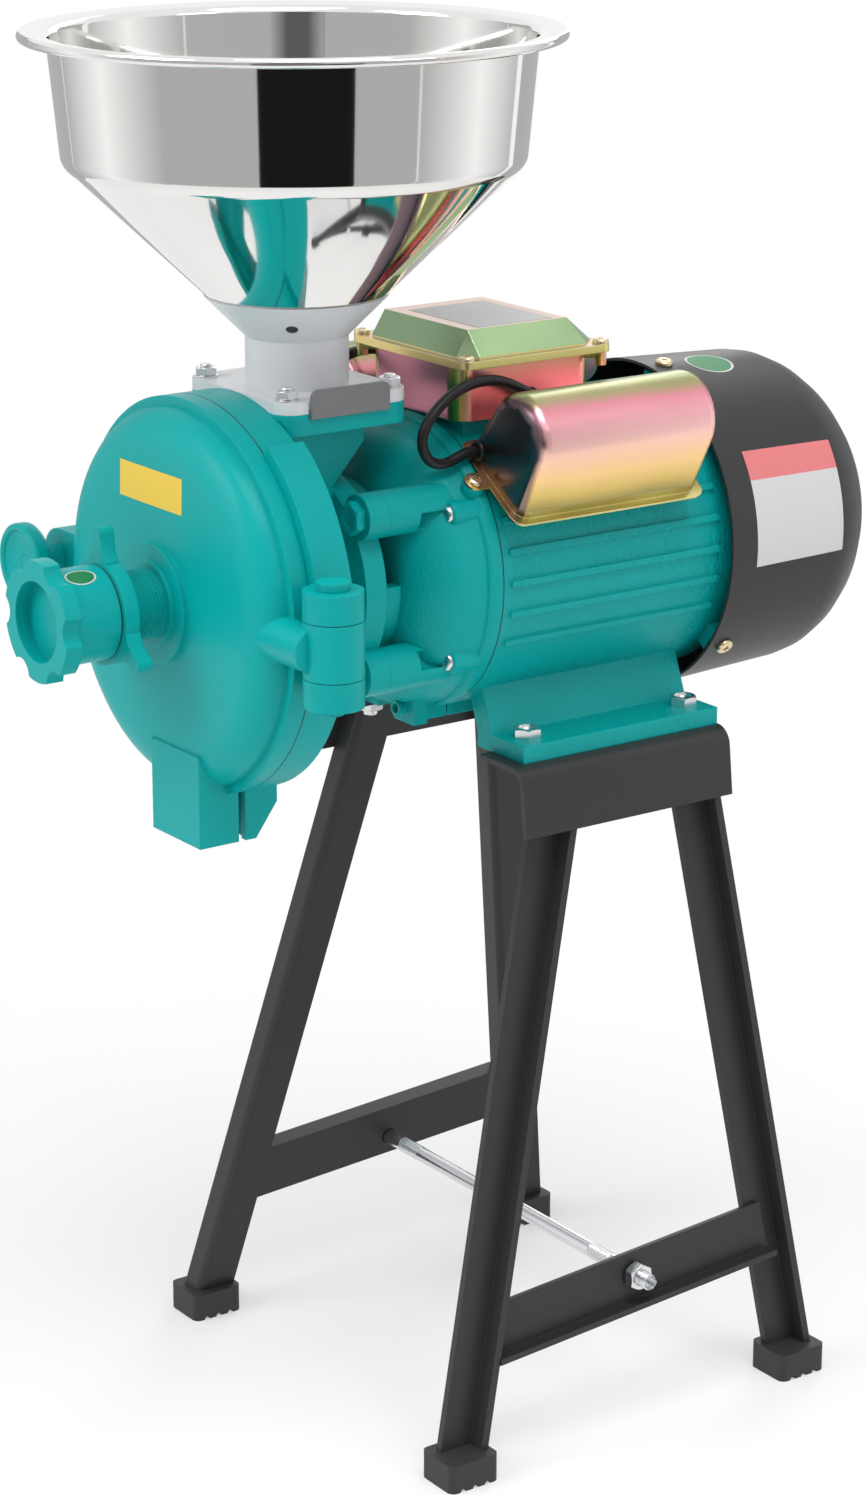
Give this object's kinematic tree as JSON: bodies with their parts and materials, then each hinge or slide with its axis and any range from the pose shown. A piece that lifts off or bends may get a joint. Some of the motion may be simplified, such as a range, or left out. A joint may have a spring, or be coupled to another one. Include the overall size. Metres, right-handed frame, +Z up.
{
  "type": "electric grain mill",
  "caption": "Motor-driven disc mill for dry grain with a round grinding housing, hinged front cover, steel hopper and a splayed steel stand.",
  "frame": {"origin": "middle of the footprint box, on the floor", "axes": "+Z up, -Y toward the grinding cover and its knob, +X toward the cover's hinge"},
  "size_m": [0.2738, 0.4884, 0.7174],
  "materials": {
    "teal_paint": "gloss, cast texture",
    "black_paint": "satin",
    "foot_rubber": "matte",
    "bright_zinc": "bright zinc plate",
    "grey_paint": "semi-gloss",
    "yellow_zinc": "iridescent yellow zinc plate",
    "white_paint": "gloss",
    "polished_steel": "mirror polish",
    "bare_steel": "machined",
    "cast_discs": "machined cast iron",
    "copper_wire": "enamelled copper",
    "lead_rubber": "satin",
    "black_plastic": "moulded",
    "grey_plastic": "moulded",
    "black_steel": "black oxide"
  },
  "bodies": {
    "base": {"left_bracket": "black_paint", "right_bracket": "black_paint", "front_left_leg": "black_paint", "front_right_leg": "black_paint", "back_left_leg": "black_paint", "back_right_leg": "black_paint", "left_brace": "black_paint", "right_brace": "black_paint", "tie_rod": "bright_zinc", "m8_nuts": "bright_zinc", "foot_bolts": "bright_zinc", "front_left_foot": "foot_rubber", "front_right_foot": "foot_rubber", "back_left_foot": "foot_rubber", "back_right_foot": "foot_rubber", "motor_body": "teal_paint", "stator_core": "bare_steel", "stator_winding": "copper_wire", "front_bell": "teal_paint", "rear_shield": "teal_paint", "bell_screws": "bright_zinc", "front_bearing": "bare_steel", "rear_bearing": "bare_steel", "fan_cover": "grey_paint", "fan_cover_screws": "yellow_zinc", "terminal_box": "yellow_zinc", "terminal_lid": "yellow_zinc", "terminal_lid_screws": "yellow_zinc", "cable_gland": "grey_plastic", "terminal_block": "black_plastic", "left_capacitor_cover": "yellow_zinc", "right_capacitor_cover": "yellow_zinc", "left_capacitor": "black_plastic", "right_capacitor": "black_plastic", "left_capacitor_lead": "lead_rubber", "right_capacitor_lead": "lead_rubber", "capacitor_screws": "yellow_zinc", "housing": "teal_paint", "housing_bolts": "teal_paint", "shaft_seal": "lead_rubber", "hinge_pin": "teal_paint", "feed_collar": "white_paint", "collar_nuts": "bright_zinc", "hopper": "polished_steel", "hopper_screw": "black_steel"},
    "rotor": {"motor_shaft": "bare_steel", "rotor_core": "bare_steel", "cooling_fan": "black_plastic", "feed_auger": "cast_discs", "rotating_disc": "cast_discs", "disc_bolt": "bare_steel"},
    "cover": {"cover": "teal_paint"},
    "disc_slide": {"push_rod": "bare_steel", "disc_carrier": "bare_steel", "stationary_disc": "cast_discs"},
    "knob": {"adjusting_knob": "teal_paint"},
    "ring": {"lock_ring": "teal_paint"},
    "latch_slide": {"latch_stud": "teal_paint"},
    "latch_hand_knob": {"latch_knob": "teal_paint"},
    "gate": {"feed_gate": "grey_paint"}
  },
  "joints": [
    {"name": "rotor_spin", "type": "hinge", "parent": "base", "child": "rotor", "pos_m": [0.00156, -0.10525, 0.4475], "axis": [0, 1, 0], "continuous": true},
    {"name": "cover_hinge", "type": "hinge", "parent": "base", "child": "cover", "pos_m": [0.11956, -0.15325, 0.4469], "axis": [0, 0, 1], "range_deg": [0, 118]},
    {"name": "disc_feed", "type": "slide", "parent": "cover", "child": "disc_slide", "axis": [0, 1, 0], "range_m": [-0.003, 0.0005]},
    {"name": "knob_turn", "type": "hinge", "parent": "disc_slide", "child": "knob", "pos_m": [0.00156, -0.22525, 0.4475], "axis": [0, 1, 0], "range_deg": [-540, 90]},
    {"name": "ring_turn", "type": "hinge", "parent": "disc_slide", "child": "ring", "pos_m": [0.00156, -0.20625, 0.4475], "axis": [0, 1, 0], "range_deg": [-60, 0]},
    {"name": "latch_travel", "type": "slide", "parent": "cover", "child": "latch_slide", "axis": [0, 1, 0], "range_m": [-0.0125, 0]},
    {"name": "latch_turn", "type": "hinge", "parent": "latch_slide", "child": "latch_hand_knob", "pos_m": [-0.11644, -0.18325, 0.444], "axis": [0, 1, 0], "range_deg": [-3000, 0]},
    {"name": "gate_slide", "type": "slide", "parent": "base", "child": "gate", "axis": [1, 0, 0], "range_m": [0, 0.047]}
  ],
  "couplings": [
    {"joint": "knob_turn", "follows": "disc_feed", "rad_per_m": 3141.6},
    {"joint": "latch_turn", "follows": "latch_travel", "rad_per_m": 4188.8}
  ]
}
